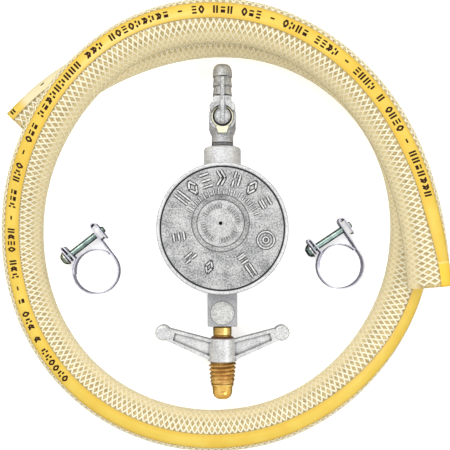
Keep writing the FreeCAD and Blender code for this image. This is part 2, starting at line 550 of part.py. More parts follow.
def make_inlet_stem():
    stem = place(turned("stem_blank", [
        ("filter_radius + 0.05", "- stem_seat - 0.05"), ("stem_socket - 0.02", "- stem_seat - 0.05"),
        ("stem_socket - 0.02", "- block_end"), ("stem_collar - 0.45", "- block_end - 0.25"),
        ("stem_collar", "- block_end - 0.8"), ("stem_collar", "- collar_end + 1.1"),
        ("stem_collar - 0.25", "- collar_end + 0.9"), ("stem_collar", "- collar_end + 0.7"),
        ("stem_collar - 0.2", "- collar_end"), ("shank_radius", "- collar_end"),
        ("shank_radius", "- shank_end"), ("gas_bore", "- shank_end"),
        ("gas_bore", "- stem_seat - filter_long"),
        ("filter_radius + 0.05", "- stem_seat - filter_long")], "Y"), up="port_height")
    keep(stem, "inlet_stem")
    keep(cylinder("inlet_filter", "filter_radius", "filter_long - 0.4", 0,
                  "- stem_seat - filter_long + 0.2", "port_height", "Y"), "inlet_filter")
    keep(place(turned("stem_washer", [
        ("shank_radius + 0.05", "- collar_end - 0.05"), ("washer_radius", "- collar_end - 0.05"),
        ("washer_radius", "- washer_end"), ("shank_radius + 0.05", "- washer_end")], "Y"),
        up="port_height"), "stem_washer")
    nose = place(turned("nose", [
        (0, "- nose_end"), (2.2, "- nose_end + 0.1"), (3.5, "- nose_end + 1.0"),
        ("nose_radius - 0.15", "- nose_end + 2.4"), ("nose_radius", "- nose_step - 1.2"),
        ("nose_radius", "- nose_step"), ("nose_large", "- nose_step + 0.5"),
        ("nose_large", "- nose_start"), ("shank_radius + 0.02", "- nose_start"),
        ("shank_radius + 0.02", "- shank_end - 0.05"), (0, "- shank_end - 0.05")], "Y"),
        up="port_height")
    flats = [box(f"nose_flat_{side}", (-6, "- flat_end", low), (6, "- nose_start + 1", high))
             for side, low, high in (("top", "port_height + nose_flat", 20),
                                     ("bottom", 0, "port_height - nose_flat"))]
    way = cylinder("nose_way", "gas_bore", 8, 0, "- nose_end - 1", "port_height", "Y")
    keep(less("bullet_nose", nose, flats + [way]), "bullet_nose")


def make_threaded_sleeve():
    root = "thread_root"
    pitch, start, end = (amount(name) for name in ("thread_pitch", "thread_start", "thread_end"))
    corners = [("sleeve_bore", "- sleeve_start"), ("sleeve_radius", "- sleeve_start"),
               ("sleeve_radius", -start), (root, -start)]
    count = int((end - start) / pitch)
    for ridge in range(count):
        crest = f"thread_crest - {ridge * amount('thread_taper'):.2f}"
        foot = start + 0.1 + ridge * pitch
        corners += [(root, -foot), (crest, -(foot + 0.40 * pitch)),
                    (crest, -(foot + 0.52 * pitch)), (root, -(foot + 0.92 * pitch))]
    corners += [(root, "- thread_end"), ("sleeve_bore", "- thread_end")]
    keep(place(turned("threaded_sleeve", corners, "Y"), up="port_height"), "threaded_sleeve")


def make_wing_handle():
    hub = place(turned("wing_hub", [
        (0, "- hub_start"), ("hub_small - 0.3", "- hub_start"),
        ("hub_small", "- hub_start - 0.3"), ("hub_large", "- hub_end + 0.3"),
        ("hub_large - 0.3", "- hub_end"), (0, "- hub_end")], "Y"), up="port_height")
    pieces, cuts = [hub], []
    for side, sign in (("east", 1), ("west", -1)):
        plan = [(sign * x, y) for x, y in ARM_OUTLINE]
        arm = padded(f"wing_arm_{side}", plan, "arm_thick + arm_thick")
        pieces.append(place(arm, up="port_height - arm_thick"))
        disc = turned(f"wing_disc_{side}", [
            (0, "- ball_half"), ("ball_radius", "- ball_half"), ("ball_radius", "ball_half"),
            (0, "ball_half")])
        round_circles(disc, [(amount("ball_radius"), amount("ball_half")),
                             (amount("ball_radius"), -amount("ball_half"))], "disc_round")
        east = "ball_reach" if sign > 0 else "- ball_reach"
        pieces.append(place(disc, east, "- ball_north", "port_height"))
        for face, level in (("top", "port_height + arm_thick - pocket_deep"),
                            ("bottom", "port_height - arm_thick - 1.0")):
            pocket = padded(f"wing_pocket_{side}_{face}",
                            [(sign * x, y) for x, y in POCKET_OUTLINE], "pocket_deep + 1.0")
            cuts.append(place(pocket, up=level))
    blank = less("wing_arms", joined("wing_blank", pieces[1:]), cuts)
    whole = joined("wing_whole", [blank, hub] + pieces[2::2])
    keep(less("wing_handle", whole, [
        cylinder("sleeve_hole", "sleeve_radius + 0.02", 14, 0, "- sleeve_start + 0.02",
                 "port_height", "-Y"),
        cylinder("stem_hole_wing", "sleeve_bore + 0.1", 8, 0, -45, "port_height", "-Y"),
    ]), "wing_handle")


# ---------------------------------------------------------------- hose clamps

def strip_run(start, end, thick, width):
    """A straight stretch of strip standing on edge, from start to end in plan."""
    along = FreeCAD.Vector(end[0] - start[0], end[1] - start[1], 0)
    side = FreeCAD.Vector(-along.y, along.x, 0).normalize() * (thick / 2)
    plan = [(start[0] + side.x, start[1] + side.y), (end[0] + side.x, end[1] + side.y),
            (end[0] - side.x, end[1] - side.y), (start[0] - side.x, start[1] - side.y)]
    return prism(plan, 0, width)


def strip_bend(centre, radius, first, last, thick, width):
    """A bent stretch of strip, from the first to the last angle in degrees."""
    outer, inner = radius + thick / 2, radius - thick / 2
    middle = FreeCAD.Vector(centre[0], centre[1], 0)

    def arc(size):
        spots = [middle + FreeCAD.Vector(math.cos(math.radians(angle)) * size,
                                         math.sin(math.radians(angle)) * size, 0)
                 for angle in (first, (first + last) / 2, last)]
        return Part.Arc(*spots).toShape()

    far, near = arc(outer), arc(inner)
    ends = [Part.LineSegment(far.Vertexes[spot].Point, near.Vertexes[spot].Point).toShape()
            for spot in (0, -1)]
    edges = Part.sortEdges([far, near] + ends)[0]
    return Part.Face(Part.Wire(edges)).extrude(FreeCAD.Vector(0, 0, width))


def clamp_band_shape():
    """A ring of strip with a hairpin ear at each end; the screw crosses both ears."""
    radius, thick, width = (amount(n) for n in ("band_radius", "band_thick", "band_width"))
    top, nut = amount("ear_top"), amount("nut_thick")
    root = (radius * math.cos(math.radians(112)), radius * math.sin(math.radians(112)))
    left_fold, right_fold = 0.75, (nut + thick) / 2 + 0.05
    left_tip = (root[0] - 0.9, top - left_fold)
    right_tip = (radius, top - right_fold)
    pieces = [strip_bend((0, 0), radius, 112, 360, thick, width),
              strip_run(root, left_tip, thick, width),
              strip_bend((left_tip[0] - left_fold, left_tip[1]), left_fold, 0, 180, thick, width),
              strip_run((left_tip[0] - 2 * left_fold, left_tip[1]),
                        (root[0] - 2 * left_fold - 0.35, 10.1), thick, width),
              strip_run((radius, 0), right_tip, thick, width),
              strip_bend((right_tip[0] + right_fold, right_tip[1]), right_fold, 0, 180, thick,
                         width),
              strip_run((right_tip[0] + 2 * right_fold, right_tip[1]),
                        (right_tip[0] + 2 * right_fold, 8.6), thick, width)]
    corner = Part.makeCylinder(thick / 2, width, FreeCAD.Vector(root[0], root[1], 0))
    joint = Part.makeCylinder(thick / 2, width, FreeCAD.Vector(left_tip[0], left_tip[1], 0))
    joint_out = Part.makeCylinder(
        thick / 2, width, FreeCAD.Vector(left_tip[0] - 2 * left_fold, left_tip[1], 0))
    band = pieces[0].multiFuse(pieces[1:] + [corner, joint, joint_out])
    hole = Part.makeCylinder(amount("screw_hole"), 60,
                             FreeCAD.Vector(-30, amount("screw_out"), width / 2), AXES["X"])
    return band.cut(hole).removeSplitter()


def make_clamp(side, east, north, turn):
    width, out = amount("band_width"), amount("screw_out")
    frame = FreeCAD.Placement(FreeCAD.Vector(east, north, 0),
                              FreeCAD.Rotation(AXES["Z"], turn))
    feature(f"clamp_band_{side}", clamp_band_shape(), frame)
    thick, ring = amount("band_thick"), amount("band_radius")
    liner = strip_bend((0, 0), ring - thick - 0.05, 14, 152, thick * 0.9, width - 1.0)
    lift = FreeCAD.Placement(FreeCAD.Vector(0, 0, 0.5), FreeCAD.Rotation())
    feature(f"clamp_bridge_{side}", liner, frame.multiply(lift))

    # The screw lies along the clamp's own X, its head on the -X side.
    head_face = -7.35
    end = 14.4
    raise_screw = FreeCAD.Placement(FreeCAD.Vector(0, out, width / 2),
                                    FreeCAD.Rotation(AXES["Z"], -90))
    screw = turned(f"screw_{side}", [
        (0, head_face - 1.9), (1.5, head_face - 1.8), (2.4, head_face - 1.2),
        ("head_radius", head_face - 0.2), ("head_radius", head_face),
        ("screw_radius", head_face), ("screw_radius", end - 0.5),
        ("screw_radius - 0.4", end), (0, end)], "Y")
    screw.Placement = frame.multiply(raise_screw)
    slot = box(f"screw_slot_{side}", (-4, head_face - 2.4, -0.35), (4, head_face - 1.0, 0.35))
    slot.Placement = screw.Placement.multiply(slot.Placement)
    keep(less(f"clamp_screw_{side}", screw, [slot]), f"clamp_screw_{side}")

    washer = turned(f"washer_{side}", [
        ("screw_radius + 0.1", head_face + 0.05), ("clamp_washer_radius", head_face + 0.05),
        ("clamp_washer_radius", head_face + 0.45), ("screw_radius + 0.1", head_face + 0.45)],
        "Y")
    washer.Placement = screw.Placement
    keep(washer, f"clamp_washer_{side}")

    nut_start = ring + thick / 2 + 0.05
    half = amount("nut_side") / 2
    nut = box(f"nut_blank_{side}", (nut_start, out - half, width / 2 - half),
              (nut_start + amount("nut_thick") - 0.05, out + half, width / 2 + half))
    nut.Placement = frame.multiply(nut.Placement)
    bore = cylinder(f"nut_bore_{side}", "nut_bore", 20, 0, out, width / 2, "X")
    bore.Placement = frame.multiply(bore.Placement)
    keep(less(f"clamp_nut_{side}", nut, [bore]), f"clamp_nut_{side}")


# ---------------------------------------------------------------- hose

def hose_path():
    """Straight runs joined by tangent arcs as large as the runs allow, as one wire."""
    spots = [FreeCAD.Vector(*spot) for spot in HOSE_ROUTE]
    edges, radii = [], []
    last = spots[0]
    for before, corner, after in zip(spots, spots[1:], spots[2:]):
        back, ahead = before - corner, after - corner
        turn = math.pi - back.getAngle(ahead)
        cut = 0.45 * min(back.Length, ahead.Length)
        radius = cut / math.tan(turn / 2)
        back.normalize()
        ahead.normalize()
        start, end = corner + back * cut, corner + ahead * cut
        middle = (back + ahead).normalize()
        centre = corner + middle * (radius / math.cos(turn / 2))
        crown = centre - middle * radius
        edges.append(Part.LineSegment(last, start).toShape())
        edges.append(Part.Arc(start, crown, end).toShape())
        radii.append(radius)
        last = end
    edges.append(Part.LineSegment(last, spots[-1]).toShape())
    return Part.Wire(edges), radii


def make_hose():
    path, radii = hose_path()
    start = FreeCAD.Vector(*HOSE_ROUTE[0])
    heading = FreeCAD.Vector(*HOSE_ROUTE[1]) - start
    tubes = []
    for size in ("hose_radius", "hose_bore"):
        section = Part.Wire(Part.makeCircle(amount(size), start, heading))
        tubes.append(path.makePipeShell([section], True, False))
    hose = tubes[0].cut(tubes[1])
    outer, inner = amount("hose_radius"), amount("hose_bore")
    expected = math.pi * (outer ** 2 - inner ** 2) * path.Length
    print("hose radii:", ", ".join(f"{radius:.0f}" for radius in radii))
    print(f"hose length {path.Length:.1f}, volume {hose.Volume:.0f}, expected {expected:.0f}")
    feature("gas_hose", hose)


def build():
    make_body_shell()
    make_cover()
    make_block_plug()
    make_diaphragm_stack()
    make_main_spring()
    make_lever()
    make_inlet_valve()
    make_tap_body()
    make_hose_spout()
    make_tap_rings()
    make_inlet_stem()
    make_threaded_sleeve()
    make_wing_handle()
    for clamp in CLAMPS:
        make_clamp(*clamp)
    make_hose()


def write_parts():
    doc.recompute()
    for item in doc.Objects:
        if "Invalid" in item.State or "Error" in item.State:
            raise RuntimeError(f"{item.Name} failed to compute")
    os.makedirs("parts", exist_ok=True)
    for name, item in nodes.items():
        shape = item.Shape
        if shape.isNull() or not shape.isValid() or not shape.Solids:
            raise RuntimeError(f"{name} has no valid solid")
        box_ = shape.BoundBox
        print(f"{name:24s} solids {len(shape.Solids)} volume {shape.Volume:9.1f} "
              f"x {box_.XMin:7.2f} {box_.XMax:7.2f} y {box_.YMin:7.2f} {box_.YMax:7.2f} "
              f"z {box_.ZMin:6.2f} {box_.ZMax:6.2f}")
        shape.exportStep(os.path.join("parts", f"{name}.step"))


build()
write_parts()
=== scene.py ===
import math
import random

import bpy
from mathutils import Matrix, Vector


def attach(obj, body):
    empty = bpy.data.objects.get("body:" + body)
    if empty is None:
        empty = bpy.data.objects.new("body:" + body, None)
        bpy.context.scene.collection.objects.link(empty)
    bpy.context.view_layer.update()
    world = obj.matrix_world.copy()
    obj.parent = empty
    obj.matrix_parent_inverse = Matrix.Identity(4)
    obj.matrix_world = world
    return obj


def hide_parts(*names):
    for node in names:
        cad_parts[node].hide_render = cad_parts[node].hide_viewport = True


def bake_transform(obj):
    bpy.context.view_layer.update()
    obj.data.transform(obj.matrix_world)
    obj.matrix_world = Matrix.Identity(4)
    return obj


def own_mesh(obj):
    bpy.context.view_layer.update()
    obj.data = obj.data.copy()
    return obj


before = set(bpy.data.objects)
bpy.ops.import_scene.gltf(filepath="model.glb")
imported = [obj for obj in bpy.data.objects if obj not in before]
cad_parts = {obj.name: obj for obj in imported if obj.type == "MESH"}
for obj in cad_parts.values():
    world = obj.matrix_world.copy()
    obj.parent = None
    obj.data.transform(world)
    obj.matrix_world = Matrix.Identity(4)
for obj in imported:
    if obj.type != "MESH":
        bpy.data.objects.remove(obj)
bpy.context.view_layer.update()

# Gas regulator with a wing connector and a swivelling spout, inside a coil of clear braided hose
# with two screw clamps. Metres, +Z up, the same frame as the CAD model.

MM = 0.001
CAP_CENTRE = (-0.75, 2.2)      # mm, of the cover's centre cap and its vent
random.seed(11)


# ---------------------------------------------------------------- camera

EYE_HEIGHT = 0.335       # of the camera above the surface
VIEW_WIDTH = 0.2034      # of the surface across the whole picture

camera_data = bpy.data.cameras.new("camera")
camera = bpy.data.objects.new("camera", camera_data)
bpy.context.scene.collection.objects.link(camera)
camera.location = (0.0, -0.015, EYE_HEIGHT)
camera_data.sensor_width = 36.0
camera_data.lens = 36.0 * EYE_HEIGHT / VIEW_WIDTH
camera_data.shift_x = 0.0058
camera_data.shift_y = 0.0867
camera_data.clip_start, camera_data.clip_end = 0.01, 20.0
bpy.context.scene.camera = camera


# ---------------------------------------------------------------- materials

class Look:
    """A Principled material whose patterns are built from short chains of nodes."""

    def __init__(self, name, colour=(0.8, 0.8, 0.8), metallic=0.0, roughness=0.5, **sockets):
        self.material = bpy.data.materials.new(name)
        self.material.use_nodes = True
        self.tree = self.material.node_tree
        self.shader = self.tree.nodes["Principled BSDF"]
        self.put("Base Color", (*colour, 1.0))
        self.put("Metallic", metallic)
        self.put("Roughness", roughness)
        for socket, value in sockets.items():
            self.put(socket.replace("_", " "), value)

    def put(self, socket, value):
        """A number, colour or another node's output, into one of the shader's sockets."""
        self._fill(self.shader.inputs[socket], value)
        return self

    def _fill(self, socket, value):
        if isinstance(value, bpy.types.NodeSocket):
            self.tree.links.new(value, socket)
        elif value is not None:
            if isinstance(value, (tuple, list)) and len(value) == 3 and socket.type == "RGBA":
                value = (*value, 1.0)
            socket.default_value = value

    def node(self, kind, output=0, settings=None, **inputs):
        made = self.tree.nodes.new("ShaderNode" + kind)
        for key, value in (settings or {}).items():
            setattr(made, key, value)
        for key, value in inputs.items():
            name = key.replace("_", " ")
            slot = made.inputs[int(name[1:])] if name[0] == "i" and name[1:].isdigit() \
                else made.inputs[name]
            self._fill(slot, value)
        return made.outputs[output]

    def place(self):
        return self.node("TexCoord", output="Object")

    def uv(self):
        return self.node("UVMap", settings={"uv_map": "route"})

    def noise(self, scale, detail=2.0, roughness=0.5, vector=None):
        return self.node("TexNoise", output="Fac", Vector=vector or self.place(), Scale=scale,
                         Detail=detail, Roughness=roughness)

    def speckle(self, scale):
        return self.node("TexVoronoi", output="Distance", Vector=self.place(), Scale=scale)

    def math(self, operation, first, second=None):
        return self.node("Math", settings={"operation": operation}, i0=first, i1=second)

    def spread(self, value, low, high, to_low=0.0, to_high=1.0):
        """Maps low..high of a value onto to_low..to_high, and clamps it."""
        return self.node("MapRange", Value=value, From_Min=low, From_Max=high, To_Min=to_low,
                         To_Max=to_high)

    def blend(self, factor, first, second, kind="MIX"):
        made = self.tree.nodes.new("ShaderNodeMix")
        made.data_type, made.blend_type = "RGBA", kind
        self._fill(made.inputs[0], factor)
        self._fill(made.inputs[6], first)
        self._fill(made.inputs[7], second)
        return made.outputs[2]

    def painted_hollow_shade(self, colour, dark, reach=0.0014, low=0.35, high=0.9):
        """Painted shade: darkens a colour in corners and round raised shapes."""
        open_sky = self.node("AmbientOcclusion", output="AO", Distance=reach)
        return self.blend(self.spread(open_sky, low, high), dark, colour)

    def level(self):
        """1 where the surface looks straight up, 0 where it stands upright."""
        return self.node("SeparateXYZ", output="Z",
                         Vector=self.node("NewGeometry", output="Normal"))

    def edges(self, colour, dark):
        """Painted shade: darkens a colour along convex edges, as a thin outline."""
        inward = self.node("AmbientOcclusion", output="AO", settings={"inside": True},
                           Distance=0.0003)
        return self.blend(self.spread(inward, 0.45, 0.85), dark, colour)

    def ring(self, colour, dark, radius, half, centre, depth):
        """Painted shade: darkens a thin ring round an upright axis, on faces that look up; lengths
        in mm.
        """
        away = self.node("VectorMath", output="Value", settings={"operation": "LENGTH"},
                         i0=self.node("Mapping", Vector=self.place(), Scale=(1.0, 1.0, 0.0),
                                      Location=(-centre[0] * MM, -centre[1] * MM, 0.0)))
        off = self.math("ABSOLUTE", self.math("SUBTRACT", away, radius * MM))
        line = self.spread(off, half * MM, (half + 0.15) * MM, depth, 0.0)
        upward = self.spread(self.level(), 0.3, 0.7)
        return self.blend(self.math("MULTIPLY", line, upward), colour, dark)

    def bump(self, height, distance, strength=1.0):
        """Distance in metres."""
        self.put("Normal", self.node("Bump", Height=height, Distance=distance,
                                     Strength=strength))
        return self


def linear(red, green, blue):
    """A colour given as it looks on a screen, 0 to 255."""
    def one(value):
        value /= 255.0
        return value / 12.92 if value <= 0.04045 else ((value + 0.055) / 1.055) ** 2.4
    return (one(red), one(green), one(blue))


def cast_metal(name, light, dark, roughness, grain, metallic, pits, rings=(), block=False):
    """Die casting: mottled skin, fine grain and small pits, with painted shade along convex edges
    and in corners. Rings are painted shade lines. The inlet block is a darker casting than the
    round body it is part of."""
    look = Look(name, light, metallic, roughness)
    pits_and_painted_shade = tuple(value * 0.22 for value in dark)
    cloud = look.noise(160.0, 5.0, 0.62)
    fine = look.noise(1500.0, 3.0, 0.7)
    mixed = look.math("ADD", look.math("MULTIPLY", cloud, 0.35),
                      look.math("MULTIPLY", fine, 0.65))
    skin = look.blend(look.spread(mixed, 0.41, 0.57), dark, light)
    pit = look.spread(look.noise(1900.0, 2.0, 0.5), 0.36, 0.30)
    skin = look.blend(look.math("MULTIPLY", pit, pits), skin, pits_and_painted_shade)
    # Painted shade along convex edges.
    skin = look.edges(skin, pits_and_painted_shade)
    if block:
        south = look.node("SeparateXYZ", output="Y", Vector=look.place())
        skin = look.blend(look.spread(south, -0.027, -0.029), skin, (0.62, 0.62, 0.63),
                          "MULTIPLY")
    # Painted shade lines at the given rings.
    for radius, half, centre, depth in rings:
        skin = look.ring(skin, pits_and_painted_shade, radius, half, centre, depth)
    # Painted shade in corners and round raised shapes.
    look.put("Base Color", look.painted_hollow_shade(skin, pits_and_painted_shade))
    look.put("Roughness", look.spread(fine, 0.3, 0.7, roughness - 0.08, roughness + 0.12))
    look.bump(look.math("ADD", look.noise(900.0, 4.0, 0.65), look.math("MULTIPLY", fine, 0.4)),
              grain)
    return look.material


def relief_metal():
    """The casting's colour on top, and painted shade on the sloping walls."""
    look = Look("relief", linear(214, 214, 213), 0.45, 0.4)
    cloud = look.noise(1200.0, 3.0, 0.6)
    skin = look.blend(look.spread(cloud, 0.38, 0.62), linear(176, 176, 176),
                      linear(228, 228, 227))
    # Painted shade: faces that slope away from straight up turn dark.
    top = look.spread(look.level(), 0.72, 0.9)
    look.put("Base Color", look.blend(top, linear(44, 44, 45), skin))
    look.bump(cloud, 0.00003)
    return look.material


def turned_metal(name, light, dark, roughness=0.25, metallic=1.0):
    """Turned metal: faint rings round the turning axis, and painted shade in corners."""
    look = Look(name, light, metallic, roughness)
    stretched = look.node("Mapping", Vector=look.place(), Scale=(1.0, 90.0, 1.0))
    rings = look.noise(60.0, 3.0, 0.6, stretched)
    stain = look.noise(240.0, 3.0, 0.6)
    skin = look.blend(look.spread(stain, 0.35, 0.65), dark, light)
    # Painted shade in corners.
    look.put("Base Color", look.painted_hollow_shade(skin, tuple(value * 0.16 for value in dark), 0.0009))
    look.put("Roughness", look.spread(rings, 0.3, 0.7, roughness - 0.06, roughness + 0.14))
    look.bump(rings, 0.00002)
    return look.material


def brushed_metal(name, light, dark, roughness=0.3, metallic=1.0, enclosed=False):
    """Brushed or plated metal; an enclosed part gets painted shade where its neighbours are close.
    """
    look = Look(name, light, metallic, roughness)
    streaks = look.noise(80.0, 4.0, 0.6, look.node("Mapping", Vector=look.place(),
                                                   Scale=(6.0, 6.0, 60.0)))
    patch = look.noise(220.0, 2.0)
    skin = look.blend(look.spread(patch, 0.35, 0.65), dark, light)
    if enclosed:
        # Painted shade, near black, inside the closed chamber.
        skin = look.painted_hollow_shade(skin, (0.01, 0.01, 0.01), 0.003, 0.3, 0.8)
    look.put("Base Color", skin)
    look.put("Roughness", look.spread(streaks, 0.3, 0.7, roughness - 0.08, roughness + 0.12))
    look.bump(streaks, 0.00001)
    return look.material


def moulded(name, colour, shade, roughness=0.5, scale=500.0):
    look = Look(name, colour, 0.0, roughness)
    cloud = look.noise(scale, 3.0, 0.6)
    look.put("Base Color", look.blend(look.spread(cloud, 0.35, 0.65), shade, colour))
    look.put("Roughness", look.spread(cloud, 0.3, 0.7, roughness - 0.08, roughness + 0.1))
    look.bump(look.noise(scale * 3, 2.0), 0.00002)
    return look.material


# The rings given to the castings below are painted shade lines.
LOOKS = {
    "casting": cast_metal("casting", linear(222, 222, 223), linear(176, 177, 179), 0.45,
                          0.00004, 0.3, 0.15, [(28.0, 0.12, (0, 0), 0.6)], block=True),
    "cover": cast_metal("cover_face", linear(198, 198, 197), linear(118, 119, 120), 0.42,
                        0.0001, 0.45, 0.6,
                        [(25.9, 0.15, (0, 0), 0.7), (12.1, 0.16, CAP_CENTRE, 0.75)]),
    "cap": cast_metal("cap_face", linear(206, 206, 205), linear(146, 146, 147), 0.38, 0.00004,
                      0.45, 0.5, [(10.05, 0.2, CAP_CENTRE, 0.8)]),
    "plug": cast_metal("plug_face", linear(214, 214, 211), linear(166, 165, 162), 0.5, 0.0001,
                       0.4, 0.4),
    "tap": cast_metal("tap_casting", linear(202, 203, 203), linear(138, 139, 141), 0.42,
                      0.00005, 0.4, 0.35),
    "wing": cast_metal("wing_casting", linear(222, 222, 221), linear(178, 178, 179), 0.34,
                       0.00003, 0.4, 0.25),
    "relief": relief_metal(),
    "brass": turned_metal("brass", linear(240, 208, 128), linear(206, 162, 84), 0.26, 0.75),
    "thread": turned_metal("thread_brass", linear(242, 200, 118), linear(188, 138, 70), 0.34,
                           0.6),
    "nose": turned_metal("nose_brass", linear(246, 206, 116), linear(222, 172, 84), 0.24, 0.75),
    "pale_brass": brushed_metal("pale_brass", linear(252, 249, 226), linear(232, 226, 188),
                                0.3, 0.3),
    "bronze": moulded("sintered_bronze", linear(150, 112, 60), linear(96, 66, 34), 0.6, 2600),
    "strip": brushed_metal("zinc_strip", linear(226, 224, 234), linear(188, 186, 200), 0.24,
                           0.6),
    "screw": turned_metal("zinc_screw", linear(156, 176, 170), linear(104, 122, 118), 0.24),
    "nut": brushed_metal("zinc_nut", linear(226, 226, 224), linear(184, 184, 186), 0.34),
    "steel": brushed_metal("spring_steel", linear(196, 196, 198), linear(140, 140, 144), 0.25,
                           1.0, True),
    "rubber": moulded("black_rubber", linear(34, 34, 36), linear(18, 18, 20), 0.55, 900),
    "grey_rubber": moulded("grey_rubber", linear(120, 120, 122), linear(84, 84, 87), 0.5, 900),
    "acetal": moulded("acetal", linear(232, 229, 218), linear(214, 210, 198), 0.42, 300),
    "dark_plastic": moulded("dark_plastic", linear(46, 46, 50), linear(26, 26, 30), 0.35, 700),
    "fibre": moulded("fibre", linear(132, 84, 58), linear(96, 56, 38), 0.75, 1500),
}
NODE_LOOKS = {
    "casting": ["body_shell"], "cover": ["cover"], "cap": ["centre_cap"],
    "plug": ["block_plug"], "tap": ["tap_body", "hose_spout"], "wing": ["wing_handle"],
    "brass": ["inlet_stem", "valve_nozzle"], "thread": ["threaded_sleeve"],
    "nose": ["bullet_nose"], "pale_brass": ["spout_retainer"], "bronze": ["inlet_filter"],
    "strip": ["clamp_band_left", "clamp_band_right", "clamp_bridge_left",
              "clamp_bridge_right"],
    "screw": ["clamp_screw_left", "clamp_screw_right"],
    "nut": ["clamp_nut_left", "clamp_nut_right", "clamp_washer_left", "clamp_washer_right"],
    "steel": ["spring_seat", "diaphragm_plate", "valve_lever", "spindle_clip", "main_spring",
              "lever_pin"],
    "rubber": ["diaphragm", "valve_pad", "spindle_o_ring_lower", "spindle_o_ring_upper"],
    "grey_rubber": ["outlet_o_ring"],
    "acetal": ["diaphragm_backing", "diaphragm_stem", "pad_holder"],
    "dark_plastic": ["spindle_collar"], "fibre": ["stem_washer"],
}
for look_name, node_names in NODE_LOOKS.items():
    for node_name in node_names:
        node_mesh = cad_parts[node_name].data
        node_mesh.materials.clear()
        node_mesh.materials.append(LOOKS[look_name])


# ---------------------------------------------------------------- mesh helpers

def new_piece(name, verts, faces, look, body=None, uvs=None, smooth=True):
    """A mesh piece in the row frame that rides on a CAD body, if one is given."""
    mesh = bpy.data.meshes.new(name)
    mesh.from_pydata([tuple(v) for v in verts], [], faces)
    mesh.update()
    if uvs:
        layer = mesh.uv_layers.new(name="route")
        layer.data.foreach_set("uv", [value for pair in uvs for value in pair])
    mesh.materials.append(look)
    piece = bpy.data.objects.new(name, mesh)
    bpy.context.scene.collection.objects.link(piece)
    mesh.polygons.foreach_set("use_smooth", [smooth] * len(mesh.polygons))
    if body:
        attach(piece, body)
    return piece


# ---------------------------------------------------------------- raised marks

# Strokes of plain marks in a cell 2 wide and 3.4 high (mm): from, to. None of them is a letter
# or a digit.
MARKS = [
    [((0.3, 0.0), (0.3, 3.4)), ((1.5, 0.0), (1.5, 3.4))],
    [((0.1, 0.2), (1.0, 1.7)), ((1.0, 1.7), (0.1, 3.2)), ((1.0, 0.2), (1.9, 1.7)),
     ((1.9, 1.7), (1.0, 3.2))],
    [((0.1, 0.3), (1.9, 0.3)), ((0.1, 1.7), (1.9, 1.7)), ((0.1, 3.1), (1.9, 3.1))],
    [((1.0, 0.0), (0.1, 1.7)), ((0.1, 1.7), (1.0, 3.4)), ((1.0, 3.4), (1.9, 1.7)),
     ((1.9, 1.7), (1.0, 0.0))],
    [((0.3, 0.0), (0.3, 1.2)), ((0.3, 2.2), (0.3, 3.4)), ((1.5, 0.6), (1.5, 2.8))],
    [((0.1, 0.6), (1.9, 0.6)), ((0.1, 1.2), (1.9, 1.2)), ((0.1, 2.6), (1.9, 2.6))],
]


def ridge(verts, faces, path, half, foot, top, closed=False):
    """A bar with softened upper edges along a flat path of points; its free ends are round."""
    soft, slope = half * 0.25, half * 0.55
    stops = [(spot, 1.0) for spot in path]
    if not closed:
        heading = (path[-1] - path[0]).normalized()
        tips = [(math.cos(math.radians(turn)), math.sin(math.radians(turn)))
                for turn in (15, 40, 65)]
        stops = [(path[0] - heading * half * away, wide) for away, wide in tips] + stops
        stops += [(path[-1] + heading * half * away, wide) for away, wide in reversed(tips)]
    section = [(-half - slope, foot), (-half, top - soft), (soft - half, top),
               (half - soft, top), (half, top - soft), (half + slope, foot)]
    first, count, sides = len(verts), len(stops), len(section)
    for index, (spot, wide) in enumerate(stops):
        before = stops[index - 1][0] if closed or index else spot
        after = stops[(index + 1) % count][0] if closed or index < count - 1 else spot
        heading = (after - before).normalized()
        for across, height in section:
            verts.append((spot.x - heading.y * across * wide,
                          spot.y + heading.x * across * wide, height))
    for index in range(count if closed else count - 1):
        low, high = first + index * sides, first + (index + 1) % count * sides
        for n in range(sides):
            follow = (n + 1) % sides
            faces.append((low + n, high + n, high + follow, low + follow))
    if not closed:
        faces.append(tuple(first + n for n in range(sides)))
        faces.append(tuple(first + (count - 1) * sides + n for n in reversed(range(sides))))


def polar(radius, degrees, centre=(0.0, 0.0)):
    """A flat point; radius in mm."""
    turn = math.radians(degrees)
    return Vector((centre[0] + radius * MM * math.cos(turn),
                   centre[1] + radius * MM * math.sin(turn)))


def upright_mark(verts, faces, shape, radius, degrees, size, foot, top):
    """A plain mark that stands upright when its place on the cover is at the top."""
    turn = math.radians(degrees)
    outward = Vector((math.cos(turn), math.sin(turn)))
    sideways = Vector((math.sin(turn), -math.cos(turn)))
    for ends in shape:
        path = [polar(radius, degrees) + (sideways * (a - 1.0) + outward * (c - 1.7)) * size * MM
                for a, c in ends]
        ridge(verts, faces, path, 0.46 * MM, foot, top)


def make_cover_relief():
    """Plain raised marks, fine lines and a ring on the cover's face."""
    verts, faces = [], []
    foot, top = 23.3 * MM, 23.9 * MM
    for number, degrees in enumerate((142, 126, 109, 91, 73, 54, 31)):
        upright_mark(verts, faces, MARKS[(0, 3, 2, 1, 4, 3, 5)[number]], 21.2, degrees, 1.85,
                     foot, top)
    for number, (radius, degrees) in enumerate(((18.6, 191), (18.3, 221), (17.2, 251),
                                                (15.6, 304), (21.3, 304))):
        upright_mark(verts, faces, MARKS[(2, 4, 3, 5, 0)[number]], radius, degrees, 1.55, foot,
                     top)
    for number in range(17):
        degrees = 152 - number * 8.06
        ridge(verts, faces, [polar(14.6, degrees), polar(16.7, degrees)], 0.3 * MM, foot,
              top - 0.1 * MM)
    middle = polar(18.9, 345)
    for radius in (3.5, 1.2):
        ridge(verts, faces, [polar(radius, n * 10, middle) for n in range(36)], 0.4 * MM, foot,
              top, closed=True)
    relief = new_piece("cover_relief", verts, faces, LOOKS["relief"], "regulator", smooth=False)


